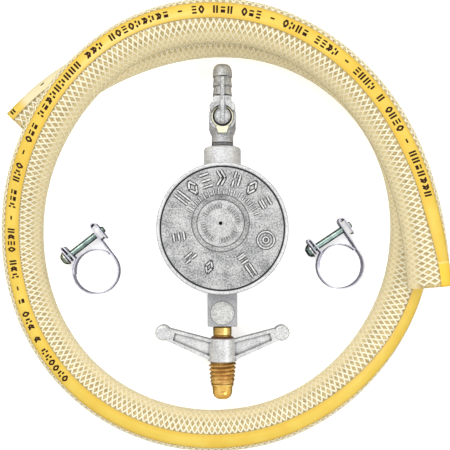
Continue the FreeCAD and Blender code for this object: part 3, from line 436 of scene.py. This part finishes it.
def make_cap_marks():
    """A ring of fine raised lines round the vent."""
    verts, faces = [], []
    vent = (CAP_CENTRE[0] * MM, CAP_CENTRE[1] * MM)
    for number in range(40):
        if number % 10 < 8:
            ridge(verts, faces, [polar(6.5, number * 9, vent), polar(8.2, number * 9, vent)],
                  0.22 * MM, 22.5 * MM, 22.95 * MM)
    marks = new_piece("cap_marks", verts, faces, LOOKS["relief"], "regulator", smooth=False)


make_cover_relief()
make_cap_marks()


# ---------------------------------------------------------------- thread

def make_thread():
    """The sleeve with a true helical thread, which tapers towards its free end."""
    bore, plain, root, crest = 3.15, 4.6, 4.95, 6.2      # radii, mm
    start, end, pitch, taper, sides = 57.8, 67.1, 1.75, 0.18, 120
    stations = [(48.2, bore), (48.2, plain), (start, plain), (start, root)]
    steps = 140
    stations += [(start + (end - start) * n / steps, None) for n in range(1, steps)]
    stations += [(end, root - 0.25), (end, bore)]
    verts, faces = [], []
    for along, radius in stations:
        for n in range(sides):
            reach = radius
            if reach is None:
                turns = (along - start) / pitch
                phase = (turns - n / sides) % 1.0
                rise = min(max((0.92 - abs(phase - 0.5) * 2) / 0.76, 0.0), 1.0)
                fade = min(1.0, turns / 0.4, (end - along) / pitch / 0.35)
                reach = root + (crest - root - taper * turns) * rise * fade
            turn = math.tau * n / sides
            verts.append((reach * math.cos(turn) * MM, -along * MM,
                          (9.5 + reach * math.sin(turn)) * MM))
    count = len(stations)
    for station in range(count):
        low, high = station * sides, (station + 1) % count * sides
        for n in range(sides):
            follow = (n + 1) % sides
            faces.append((low + n, high + n, high + follow, low + follow))
    thread = new_piece("helical_thread", verts, faces, LOOKS["thread"], "wing", smooth=False)
    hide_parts("threaded_sleeve")


make_thread()


# ---------------------------------------------------------------- spring and diaphragm

def make_spring():
    """The coil over the diaphragm, between its plate and its seat."""
    radius, wire, turns, sides, per_turn = 6.5, 0.4, 3.5, 16, 40
    plate, seat, stroke = 14.4, 19.9, 1.1
    low, high = plate + wire + 0.03, seat - wire - 0.03
    steps = int(turns * per_turn)
    verts, faces = [], []
    for step in range(steps + 1):
        turn = math.tau * turns * step / steps
        for n in range(sides):
            reach = radius + wire * math.cos(math.tau * n / sides)
            verts.append((reach * math.cos(turn) * MM, reach * math.sin(turn) * MM,
                          (low + (high - low) * step / steps
                           + wire * math.sin(math.tau * n / sides)) * MM))
    for step in range(steps):
        for n in range(sides):
            follow = (n + 1) % sides
            faces.append((step * sides + n, (step + 1) * sides + n,
                          (step + 1) * sides + follow, step * sides + follow))
    faces.append(tuple(range(sides)))
    faces.append(tuple(steps * sides + n for n in reversed(range(sides))))
    spring = new_piece("spring_coil", verts, faces, LOOKS["steel"], "regulator")
    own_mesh(spring)
    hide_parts("main_spring")


def make_diaphragm():
    """The rubber sheet with its roll, in equal sectors."""
    profile = [(1.65, 12.95), (16.0, 12.95), (16.6, 13.25), (17.1, 14.0), (17.9, 14.4),
               (19.1, 14.4), (19.9, 14.0), (20.4, 13.25), (21.0, 12.95), (26.4, 12.95),
               (26.4, 13.6), (21.35, 13.6), (20.95, 13.75), (20.5, 14.45), (19.5, 15.05),
               (17.5, 15.05), (16.5, 14.45), (16.05, 13.75), (15.65, 13.6), (1.65, 13.6)]
    sectors, steps, count = 12, 8, len(profile)
    for sector in range(sectors):
        verts, faces = [], []
        for step in range(steps + 1):
            turn = math.tau * (sector + 0.0004 + 0.9992 * step / steps) / sectors
            verts += [(reach * math.cos(turn) * MM, reach * math.sin(turn) * MM, height * MM)
                      for reach, height in profile]
        for step in range(steps):
            for n in range(count):
                follow = (n + 1) % count
                faces.append((step * count + n, (step + 1) * count + n,
                              (step + 1) * count + follow, step * count + follow))
        faces.append(tuple(range(count)))
        faces.append(tuple(steps * count + n for n in reversed(range(count))))
        piece = new_piece(f"diaphragm_sector_{sector + 1}", verts, faces, LOOKS["rubber"])
        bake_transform(piece)
        if sector == 0:
            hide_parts("diaphragm")


make_spring()
make_diaphragm()


# ---------------------------------------------------------------- hose

HOSE_ROUTE = [
    (-0.0878, 0.0448, 0.0090), (-0.0813, 0.0517, 0.0090), (-0.0723, 0.0595, 0.0090),
    (-0.0613, 0.0668, 0.0090), (-0.0476, 0.0744, 0.0090), (-0.0292, 0.0814, 0.0090),
    (-0.0076, 0.0855, 0.0090), (0.0157, 0.0846, 0.0090), (0.0378, 0.0774, 0.0090),
    (0.0570, 0.0642, 0.0090), (0.0717, 0.0463, 0.0090), (0.0806, 0.0250, 0.0090),
    (0.0836, 0.0022, 0.0090), (0.0812, -0.0207, 0.0090), (0.0733, -0.0411, 0.0090),
    (0.0606, -0.0594, 0.0090), (0.0436, -0.0746, 0.0090), (0.0228, -0.0848, 0.0090),
    (-0.0004, -0.0889, 0.0090), (-0.0243, -0.0866, 0.0090), (-0.0469, -0.0776, 0.0090),
    (-0.0658, -0.0625, 0.0090), (-0.0794, -0.0424, 0.0090), (-0.0864, -0.0212, 0.0090),
    (-0.0880, -0.0010, 0.0103), (-0.0848, 0.0186, 0.0153), (-0.0773, 0.0365, 0.0212),
    (-0.0660, 0.0538, 0.0258), (-0.0512, 0.0693, 0.0272), (-0.0327, 0.0809, 0.0272),
    (-0.0108, 0.0865, 0.0272), (0.0114, 0.0855, 0.0272), (0.0320, 0.0780, 0.0272),
    (0.0496, 0.0656, 0.0272), (0.0636, 0.0501, 0.0272), (0.0739, 0.0322, 0.0272),
    (0.0805, 0.0131, 0.0272), (0.0844, -0.0060, 0.0272), (0.0860, -0.0246, 0.0272),
]
HOSE_LENGTH = 0.797
COVER_RADIUS = 0.00897
CORE_RADIUS = 0.00835    # of the inner layer that the yarn lies on
BORE_RADIUS = 0.0042

# Place of the yellow stripe round the hose: fraction of the hose's length, and degrees from
# its top towards the outside of the coil.
STRIPE_PLACE = [(0.0, 40), (0.33, 37), (0.41, 21), (0.52, 22), (0.64, 17), (0.74, 19),
                (0.82, 11), (0.92, 13), (0.955, 19), (1.0, 39)]
STRIPE_HALF = math.radians(23.5)


def follow_route():
    """Points along the hose's centreline, and the lengths along it."""
    curve = bpy.data.curves.new("hose_route", "CURVE")
    curve.dimensions = "3D"
    curve.resolution_u = 12
    spline = curve.splines.new("NURBS")
    spline.points.add(len(HOSE_ROUTE) - 1)
    for point, spot in zip(spline.points, HOSE_ROUTE):
        point.co = (*spot, 1.0)
    spline.order_u = 3
    spline.use_endpoint_u = True
    carrier = bpy.data.objects.new("hose_route", curve)
    bpy.context.scene.collection.objects.link(carrier)
    bpy.context.view_layer.update()
    line = bpy.data.meshes.new_from_object(carrier)
    points = [v.co.copy() for v in line.vertices]
    bpy.data.objects.remove(carrier)
    bpy.data.meshes.remove(line)
    lengths = [0.0]
    for before, after in zip(points, points[1:]):
        lengths.append(lengths[-1] + (after - before).length)
    return points, lengths


class Route:
    """The hose's centreline, read anywhere along its length."""

    def __init__(self):
        self.points, self.lengths = follow_route()
        self.total = self.lengths[-1]
        self.headings = []
        last = len(self.points) - 1
        for index in range(last + 1):
            ahead = self.points[min(index + 1, last)] - self.points[max(index - 1, 0)]
            self.headings.append(ahead.normalized())
        self.cursor = 0

    def at(self, distance):
        """Point, heading, up and outward at a distance along the hose."""
        distance = min(max(distance, 0.0), self.total)
        if distance < self.lengths[self.cursor]:
            self.cursor = 0
        while self.cursor < len(self.lengths) - 2 and self.lengths[self.cursor + 1] < distance:
            self.cursor += 1
        start = self.lengths[self.cursor]
        share = (distance - start) / (self.lengths[self.cursor + 1] - start)
        point = self.points[self.cursor].lerp(self.points[self.cursor + 1], share)
        heading = self.headings[self.cursor].lerp(self.headings[self.cursor + 1], share)
        heading.normalize()
        up = Vector((0, 0, 1)) - heading * heading.z
        up.normalize()
        return point, heading, up, up.cross(heading)

    def spot(self, distance, radius, angle):
        """A point at a radius and an angle from the top towards the coil's outside."""
        point, _, up, out = self.at(distance)
        return point + (up * math.cos(angle) + out * math.sin(angle)) * radius


def smooth_step(share):
    return share * share * (3 - 2 * share)


def stripe_angle(fraction):
    for (start, low), (end, high) in zip(STRIPE_PLACE, STRIPE_PLACE[1:]):
        if fraction <= end:
            share = smooth_step((fraction - start) / (end - start))
            return math.radians(low + (high - low) * share)
    return math.radians(STRIPE_PLACE[-1][1])


def tube(name, route, outer, inner, look, round_end=0.0004):
    """A hose layer with its wall closed and softened at both cut ends."""
    last, sides = route.total, 48
    count = int(last / 0.002)
    inside = [round_end + (last - 2 * round_end) * n / count for n in range(count + 1)]
    profile = [(0.0, inner + round_end), (0.0, outer - round_end)]
    profile += [(round_end * 0.3, outer - round_end * 0.3)]
    profile += [(distance, outer) for distance in inside]
    profile += [(last - round_end * 0.3, outer - round_end * 0.3), (last, outer - round_end)]
    profile += [(last, inner + round_end)]
    profile += [(distance, inner) for distance in reversed(inside)]
    rings = len(profile)
    verts, faces, uvs = [], [], []
    for distance, radius in profile:
        verts += [route.spot(distance, radius, math.tau * n / sides) for n in range(sides)]
    for ring in range(rings):
        low, high = ring * sides, ((ring + 1) % rings) * sides
        along = (profile[ring][0], profile[(ring + 1) % rings][0])
        for n in range(sides):
            follow = (n + 1) % sides
            faces.append((low + n, high + n, high + follow, low + follow))
            uvs += [(along[0], n / sides), (along[1], n / sides),
                    (along[1], (n + 1) / sides), (along[0], (n + 1) / sides)]
    return new_piece(name, verts, faces, look, "hose", uvs)


YARN_COUNT = 12          # in each of the two directions
YARN_PITCH = 0.0300      # length of hose that a yarn takes to go round once
YARN_HALF_WIDTH = 0.00037
YARN_THICKNESS = 0.00026


def braid(name, route, sense, look):
    """Flat yarns wound one way, passing over and under those wound the other way."""
    verts, faces, uvs = [], [], []
    start, end = 0.0012, route.total - 0.0012
    steps = int((end - start) / 0.0008)
    lay = math.atan2(math.tau * CORE_RADIUS, YARN_PITCH)
    half_angle = YARN_HALF_WIDTH * math.cos(lay) / CORE_RADIUS
    half_along = YARN_HALF_WIDTH * math.sin(lay)
    base = CORE_RADIUS + 0.00020
    for yarn in range(YARN_COUNT):
        first = len(verts)
        for step in range(steps + 1):
            distance = start + (end - start) * step / steps
            angle = sense * math.tau * distance / YARN_PITCH + math.tau * yarn / YARN_COUNT
            weave = sense * 0.00010 * math.cos(math.tau * distance * YARN_COUNT / YARN_PITCH)
            for across, height in ((-1, 0.35), (0, 1.0), (1, 0.35), (0, -0.6)):
                radius = base + weave + height * YARN_THICKNESS / 2
                verts.append(route.spot(distance + across * half_along, radius,
                                        angle - sense * across * half_angle))
        for step in range(steps):
            low, high = first + step * 4, first + (step + 1) * 4
            reach = [start + (end - start) * (step + n) / steps for n in (0, 1)]
            turns = [sense * reach[n] / YARN_PITCH + yarn / YARN_COUNT for n in (0, 1)]
            for side in range(4):
                follow = (side + 1) % 4
                faces.append((low + side, low + follow, high + follow, high + side))
                uvs += [(reach[0], turns[0]), (reach[0], turns[0]), (reach[1], turns[1]),
                        (reach[1], turns[1])]
        faces.append((first + 3, first + 2, first + 1, first))
        tip = first + steps * 4
        faces.append((tip, tip + 1, tip + 2, tip + 3))
        uvs += [(0.0, 0.0)] * 8
    return new_piece(name, verts, faces, look, "hose", uvs)


def stripe(name, route, look):
    """The yellow strip, flush with the cover and let into it."""
    outer, inner, across = COVER_RADIUS + 0.00001, COVER_RADIUS - 0.00018, 14
    section = [(outer, -1 + 2 * n / across) for n in range(across + 1)]
    section += [(inner, 0.96 - 1.92 * n / across) for n in range(across + 1)]
    count = len(section)
    rings = int(route.total / 0.002)
    verts, faces, uvs = [], [], []
    for ring in range(rings + 1):
        distance = route.total * ring / rings
        middle = stripe_angle(distance / route.total)
        for radius, share in section:
            verts.append(route.spot(distance, radius, middle + STRIPE_HALF * share))
    for ring in range(rings):
        for n in range(count):
            follow = (n + 1) % count
            low, high = ring * count, (ring + 1) * count
            faces.append((low + n, high + n, high + follow, low + follow))
            ends = (section[n][1], section[follow][1])
            reach = (route.total * ring / rings, route.total * (ring + 1) / rings)
            uvs += [(reach[0], ends[0]), (reach[1], ends[0]), (reach[1], ends[1]),
                    (reach[0], ends[1])]
    faces.append(tuple(range(count)))
    uvs += [(0.0, 0.0)] * count
    faces.append(tuple(rings * count + n for n in reversed(range(count))))
    uvs += [(route.total, 0.0)] * count
    return new_piece(name, verts, faces, look, "hose", uvs)


def lateral(look):
    """Place across the hose seen from above: -1 on the coil's inside, 1 on its outside."""
    turn = look.node("SeparateXYZ", output="Y", Vector=look.uv())
    return look.math("SINE", look.math("MULTIPLY", turn, math.tau))


def band(look, value, middle, half, soft):
    """1 within half of the middle, falling to 0 over soft."""
    away = look.math("ABSOLUTE", look.math("SUBTRACT", value, middle))
    return look.spread(away, half, half + soft, 1.0, 0.0)


def hose_looks():
    """Materials of the inner layer, yarn, clear cover, stripe and print. The inner layer carries a
    painted reflection of the bore as a darker line, dark specks of painted reflection, and painted
    light on the inside of the coil; the yarn gets painted light there too, and a faint painted
    glow."""
    core = Look("hose_inner_layer", linear(206, 194, 144), 0.0, 0.5)
    across = lateral(core)
    cloud = core.noise(900.0, 3.0, 0.6)
    holes = core.blend(core.spread(cloud, 0.35, 0.65), linear(158, 134, 78),
                       linear(214, 190, 128))
    # Painted reflection: the bore's wall seen through the clear wall, as a darker line.
    painted_bore_reflection = band(core, across, -0.68, 0.07, 0.10)
    holes = core.blend(core.math("MULTIPLY", painted_bore_reflection, 0.75), holes, linear(184, 162, 104))
    # Painted light: the inner layer turns pale on the coil's inside.
    inner = core.spread(across, -0.60, -0.84)
    holes = core.blend(core.math("MULTIPLY", inner, 0.85), holes, linear(250, 232, 182))
    # Painted reflection: a row of dark specks along one band.
    painted_reflection_specks = core.spread(core.speckle(1250.0), 0.30, 0.18)
    edge = core.math("MULTIPLY", painted_reflection_specks, band(core, across, -0.50, 0.09, 0.08))
    holes = core.blend(edge, holes, linear(92, 84, 44))
    core.put("Base Color", holes)
    core.bump(cloud, 0.00003)

    # Painted light: the yarn glows faintly, though it is no lamp.
    yarn = Look("hose_yarn", linear(252, 248, 226), 0.0, 0.55,
                Emission_Color=(1.0, 0.96, 0.84, 1.0), Emission_Strength=0.05)
    across = lateral(yarn)
    shade = yarn.spread(yarn.noise(900.0, 3.0), 0.3, 0.7)
    thread = yarn.blend(shade, linear(248, 242, 208), linear(255, 254, 240))
    # Painted light: the yarn turns pale yellow on the coil's inside.
    inner = yarn.spread(across, -0.52, -0.72)
    thread = yarn.blend(yarn.math("MULTIPLY", inner, 0.45), thread, linear(246, 230, 178))
    yarn.put("Base Color", thread)
    yarn.bump(yarn.noise(4000.0, 2.0), 0.00003)

    cover = Look("hose_clear_cover", linear(244, 230, 182), 0.0, 0.16, Alpha=0.1,
                 Specular_IOR_Level=0.5)
    grazing = cover.node("LayerWeight", output="Facing", Blend=0.25)
    cover.put("Alpha", cover.spread(grazing, 0.2, 0.9, 0.06, 0.6))
    cover.put("Roughness", cover.spread(cover.noise(60.0, 3.0), 0.3, 0.7, 0.12, 0.26))
    cover.bump(cover.noise(220.0, 3.0), 0.00004)

    yellow = Look("hose_stripe_yellow", linear(238, 196, 74), 0.0, 0.3)
    route_uv = yellow.uv()
    edge = yellow.math("ABSOLUTE", yellow.node("SeparateXYZ", output="Y", Vector=route_uv))
    along = yellow.node("SeparateXYZ", output="X", Vector=route_uv)
    patch = yellow.spread(yellow.noise(90.0, 4.0), 0.3, 0.7)
    tint = yellow.blend(patch, linear(222, 184, 62), linear(230, 200, 86))
    tint = yellow.blend(yellow.math("MULTIPLY", yellow.spread(edge, 0.45, 0.85), 0.55), tint,
                        linear(212, 166, 44))
    tint = yellow.blend(yellow.spread(edge, 0.86, 1.0, 0.0, 0.6), tint, linear(226, 206, 140))
    crease = band(yellow, along, HOSE_LENGTH - 0.0103, 0.0001, 0.0004)
    tint = yellow.blend(yellow.spread(along, HOSE_LENGTH - 0.0105, HOSE_LENGTH - 0.0100, 0.0, 0.7),
                        tint, linear(250, 204, 52))
    tint = yellow.blend(yellow.math("MULTIPLY", crease, 0.5), tint, linear(248, 232, 160))
    faded = yellow.math("MULTIPLY", yellow.spread(along, 0.006, 0.010),
                        yellow.spread(along, 0.075, 0.11, 1.0, 0.0))
    tint = yellow.blend(yellow.math("MULTIPLY", faded, 0.92), tint, linear(232, 220, 178))
    yellow.put("Base Color", tint)
    yellow.put("Alpha", yellow.spread(edge, 0.88, 1.0, 1.0, 0.45))
    yellow.bump(yellow.noise(260.0, 3.0), 0.00003)

    ink = Look("hose_print", linear(58, 24, 16), 0.0, 0.7, Specular_IOR_Level=0.2)
    ink.put("Base Color", ink.blend(ink.spread(ink.noise(900.0, 3.0), 0.35, 0.7),
                                    linear(34, 10, 8), linear(66, 28, 18)))
    return core.material, yarn.material, cover.material, yellow.material, ink.material


DASH = [((0.2, 1.7), (1.9, 1.7))]
# Marks in each group; 0 is a dash on its own.
GROUPS = [6, 1, 3, 1, 0, 3, 4, 0, 3, 3, 0, 3, 9, 3, 9, 0, 2, 3, 3, 0, 4, 4, 0, 4, 1, 4, 0, 7]
PRINT_START = 0.437
MARK_STEP = 0.00284


def make_print(route, look):
    """Groups of plain marks along the middle of the yellow strip."""
    verts, faces = [], []
    top, foot = COVER_RADIUS + 0.00003, COVER_RADIUS - 0.00010

    def stroke(start, spot, end, half):
        (a0, c0), (a1, c1) = spot, end
        length = math.hypot(a1 - a0, c1 - c0)
        side = (-(c1 - c0) / length * half, (a1 - a0) / length * half)
        count = max(2, int(length / 0.5))
        first = len(verts)
        for step in range(count + 1):
            share = step / count
            along, across = a0 + (a1 - a0) * share, c0 + (c1 - c0) * share
            for sign, radius in ((1, top), (-1, top), (-1, foot), (1, foot)):
                distance = start + (along + sign * side[0]) * MM
                turn = stripe_angle(distance / route.total)
                offset = (across + sign * side[1] - 1.7) * MM / COVER_RADIUS
                verts.append(route.spot(distance, radius, turn + offset))
        for step in range(count):
            low, high = first + step * 4, first + (step + 1) * 4
            for n in range(4):
                follow = (n + 1) % 4
                faces.append((low + n, low + follow, high + follow, high + n))
        faces.append(tuple(first + n for n in (3, 2, 1, 0)))
        faces.append(tuple(first + count * 4 + n for n in range(4)))

    place = PRINT_START
    for size in GROUPS:
        for number in range(max(size, 1)):
            shape = random.choice(MARKS) if size else DASH
            for spot, end in shape:
                stroke(place, spot, end, 0.38)
            place += MARK_STEP
        place += MARK_STEP
    for start, shape in ((0.0016, MARKS[0]), (0.0180, DASH)):
        for spot, end in shape:
            stroke(start, spot, end, 0.38)
    return new_piece("hose_print", verts, faces, look, "hose")


def make_hose():
    route = Route()
    core_look, yarn_look, cover_look, stripe_look, ink_look = hose_looks()
    core = tube("hose_inner_layer", route, CORE_RADIUS, BORE_RADIUS, core_look)
    cover = tube("hose_cover", route, COVER_RADIUS, CORE_RADIUS + 0.00047, cover_look,
                 round_end=0.00005)
    yarns = [braid("hose_yarns_right", route, 1, yarn_look),
             braid("hose_yarns_left", route, -1, yarn_look)]
    band_piece = stripe("hose_stripe", route, stripe_look)
    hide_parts("gas_hose")
    pieces = [core, band_piece, make_print(route, ink_look)] + yarns


make_hose()


# ---------------------------------------------------------------- surface and light

def flat_sheet(name, half, height, look):
    mesh = bpy.data.meshes.new(name)
    mesh.from_pydata([(-half, -half, 0), (half, -half, 0), (half, half, 0), (-half, half, 0)],
                     [], [(0, 1, 2, 3)])
    mesh.materials.append(look)
    sheet = bpy.data.objects.new(name, mesh)
    sheet.location.z = height
    bpy.context.scene.collection.objects.link(sheet)
    return sheet


def make_floor():
    """A white table, and a dark sheet that shows only in reflections and draws metal edges."""
    white = Look("floor", (0.95, 0.95, 0.95), 0.0, 0.9, Specular_IOR_Level=0.0,
                 Emission_Color=(1.0, 1.0, 1.0, 1.0), Emission_Strength=0.45)
    flat_sheet("floor", 8.0, -0.0002, white.material)
    dark = Look("dark_sheet", (0.05, 0.05, 0.055), 0.0, 0.9, Specular_IOR_Level=0.0)
    sheet = flat_sheet("dark_sheet", 1.5, -0.0001, dark.material)
    sheet.visible_camera = sheet.visible_diffuse = sheet.visible_shadow = False
    sheet.visible_transmission = sheet.visible_volume_scatter = False


def make_lamp(name, place, size, power):
    data = bpy.data.lights.new(name, "AREA")
    data.size = size
    data.energy = power
    lamp = bpy.data.objects.new(name, data)
    lamp.location = place
    lamp.rotation_euler = (-Vector(place)).to_track_quat("-Z", "Y").to_euler()
    bpy.context.scene.collection.objects.link(lamp)


def make_light():
    """White overhead light that falls off towards the horizon."""
    world = bpy.data.worlds.new("studio")
    bpy.context.scene.world = world
    world.use_nodes = True
    tree = world.node_tree
    place = tree.nodes.new("ShaderNodeTexCoord")
    split = tree.nodes.new("ShaderNodeSeparateXYZ")
    height = tree.nodes.new("ShaderNodeMapRange")
    height.inputs["From Min"].default_value, height.inputs["From Max"].default_value = 0.0, 0.7
    height.inputs["To Min"].default_value, height.inputs["To Max"].default_value = 0.55, 1.0
    tree.links.new(place.outputs["Generated"], split.inputs[0])
    tree.links.new(split.outputs["Z"], height.inputs["Value"])
    tree.links.new(height.outputs["Result"], tree.nodes["Background"].inputs["Color"])
    tree.nodes["Background"].inputs["Strength"].default_value = 0.92
    make_lamp("key", (-0.30, 0.40, 0.75), 0.45, 3.2)
    make_lamp("fill", (0.50, -0.20, 0.65), 0.45, 1.6)
    bpy.context.scene.view_settings.view_transform = "Standard"


make_floor()
make_light()
